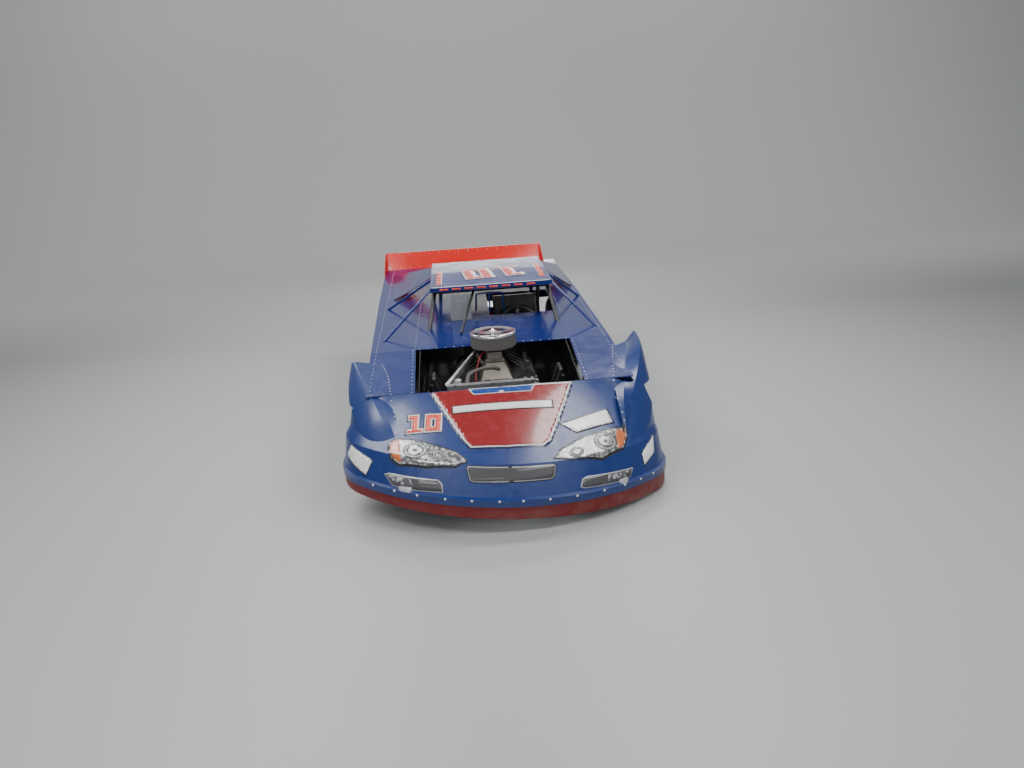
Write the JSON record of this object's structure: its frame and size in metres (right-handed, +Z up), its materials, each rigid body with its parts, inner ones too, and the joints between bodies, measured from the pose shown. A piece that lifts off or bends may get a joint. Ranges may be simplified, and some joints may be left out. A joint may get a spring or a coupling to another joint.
{
  "type": "dirt late model stock car",
  "caption": "Dirt-track late model race car, hood off, with open engine bay, roll cage, steered front wheels and a locked rear axle.",
  "frame": {"origin": "on the ground under the middle of the overall length and width", "axes": "+Y along the car from nose to tail, +X to the car's left (driver's side), +Z up"},
  "size_m": [2.3012, 5.25, 1.212],
  "materials": {
    "body_blue": "gloss blue sheet",
    "nose_blue": "satin moulded plastic",
    "valance_red": "red rubber strip",
    "spoiler_red": "bright red sheet",
    "chassis_black": "satin black",
    "bay_black": "gloss black sheet",
    "bare_aluminium": "bare sheet and castings",
    "engine_cast": "cast block and heads",
    "air_cleaner_finish": "dark element under a bright lid",
    "header_metal": "heat-dulled steel tube",
    "seat_black": "black covered shell",
    "control_black": "soft black grip",
    "fuel_cell_black": "black can",
    "running_gear": "machined steel",
    "tyre": "worn slick rubber"
  },
  "bodies": {
    "root": {"fender_left": "body_blue", "fender_right": "body_blue", "door_left": "body_blue", "door_right": "body_blue", "quarter_left": "body_blue", "quarter_right": "body_blue", "interior_deck": "body_blue", "rear_deck": "body_blue", "roof": "body_blue", "sail_left": "body_blue", "sail_right": "body_blue", "nose_left": "nose_blue", "nose_right": "nose_blue", "flare_left": "nose_blue", "flare_right": "nose_blue", "nose_valance": "valance_red", "spoiler": "spoiler_red", "frame": "chassis_black", "front_frame": "chassis_black", "rear_frame": "chassis_black", "roll_cage": "chassis_black", "window_posts": "chassis_black", "front_suspension": "chassis_black", "rear_suspension": "chassis_black", "tail_panel": "chassis_black", "bay_panels": "bay_black", "dash": "bay_black", "floor_pan": "bare_aluminium", "intake": "bare_aluminium", "radiator": "bare_aluminium", "coolant_pipe": "bare_aluminium", "engine_block": "engine_cast", "air_cleaner": "air_cleaner_finish", "headers": "header_metal", "seat": "seat_black", "steering_wheel": "control_black", "fuel_cell": "fuel_cell_black", "rear_axle": "running_gear"},
    "knuckle_left": {"knuckle_left": "running_gear"},
    "knuckle_right": {"knuckle_right": "running_gear"},
    "steering_rack": {"steering_rack": "running_gear"},
    "wheel_front_left": {"tyre_front_left": "tyre", "rim_front_left": "bare_aluminium"},
    "wheel_front_right": {"tyre_front_right": "tyre", "rim_front_right": "bare_aluminium"},
    "wheel_rear_left": {"tyre_rear_left": "tyre", "rim_rear_left": "bare_aluminium"},
    "wheel_rear_right": {"tyre_rear_right": "tyre", "rim_rear_right": "bare_aluminium"}
  },
  "joints": [
    {"name": "steer_left", "type": "hinge", "parent": "root", "child": "knuckle_left", "pos_m": [0.74, -1.325, 0.364], "axis": [0, 0, 1], "range_deg": [-20, 20]},
    {"name": "steer_right", "type": "hinge", "parent": "root", "child": "knuckle_right", "pos_m": [-0.74, -1.325, 0.364], "axis": [0, 0, 1], "range_deg": [-20, 20]},
    {"name": "rack_slide", "type": "slide", "parent": "root", "child": "steering_rack", "axis": [1, 0, 0], "range_m": [-0.03983, 0.03983]},
    {"name": "roll_front_left", "type": "hinge", "parent": "knuckle_left", "child": "wheel_front_left", "pos_m": [0.86, -1.325, 0.364], "axis": [1, 0, 0], "continuous": true},
    {"name": "roll_front_right", "type": "hinge", "parent": "knuckle_right", "child": "wheel_front_right", "pos_m": [-0.86, -1.325, 0.364], "axis": [1, 0, 0], "continuous": true},
    {"name": "roll_rear_left", "type": "hinge", "parent": "root", "child": "wheel_rear_left", "pos_m": [0.85, 1.291, 0.372], "axis": [1, 0, 0], "continuous": true},
    {"name": "roll_rear_right", "type": "hinge", "parent": "root", "child": "wheel_rear_right", "pos_m": [-0.85, 1.291, 0.372], "axis": [1, 0, 0], "continuous": true}
  ],
  "couplings": [
    {"joint": "steer_right", "follows": "steer_left", "ratio": 1},
    {"joint": "rack_slide", "follows": "steer_left", "m_per_rad": 0.11267},
    {"joint": "roll_rear_right", "follows": "roll_rear_left", "ratio": 1}
  ]
}
